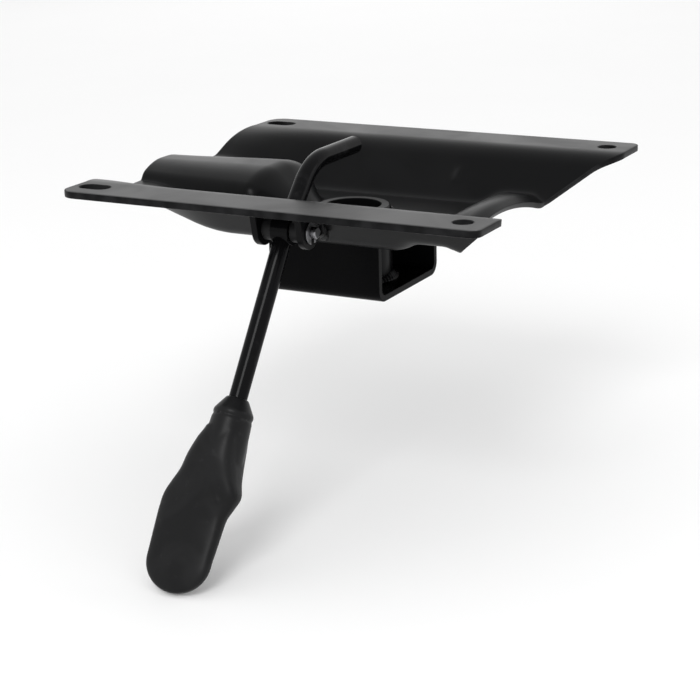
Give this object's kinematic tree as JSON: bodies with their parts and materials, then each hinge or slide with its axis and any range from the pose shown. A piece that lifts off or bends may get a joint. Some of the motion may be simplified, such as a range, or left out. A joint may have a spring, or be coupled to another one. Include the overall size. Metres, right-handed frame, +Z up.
{
  "type": "seat swivel plate",
  "caption": "Pressed steel seat mounting plate with a raised hump, a welded box bracket with a taper socket for a gas lift, and a hanging height lever with a paddle grip.",
  "frame": {"origin": "centre of the taper socket's lower mouth, level with the underside of the box bracket", "axes": "+Z up along the gas lift towards the seat, +X along the flanges towards the front ridge, the lever hangs on the -Y side"},
  "size_m": [0.2075, 0.2466, 0.166],
  "materials": {
    "plate_paint": "black powder coat with a soft sheen",
    "weld_bead": "painted weld bead, rippled",
    "rod_paint": "black gloss enamel",
    "bright_steel": "bright zinc",
    "spacer_plastic": "matt moulded nylon",
    "grip_plastic": "satin moulded plastic"
  },
  "bodies": {
    "frame": {"seat_plate": "plate_paint", "box_bracket": "plate_paint", "taper_socket": "plate_paint", "socket_welds": "weld_bead", "bracket_welds": "weld_bead", "pivot_lugs": "plate_paint", "lug_welds": "weld_bead", "pivot_pin": "bright_steel", "pivot_clip": "bright_steel", "pivot_spacers": "spacer_plastic"},
    "lever": {"lever_rod": "rod_paint", "lever_grip": "grip_plastic"}
  },
  "joints": [
    {"name": "lever", "type": "hinge", "parent": "frame", "child": "lever", "pos_m": [0, -0.0625, 0.039], "axis": [-1, 0, 0], "range_deg": [0, 22]}
  ]
}
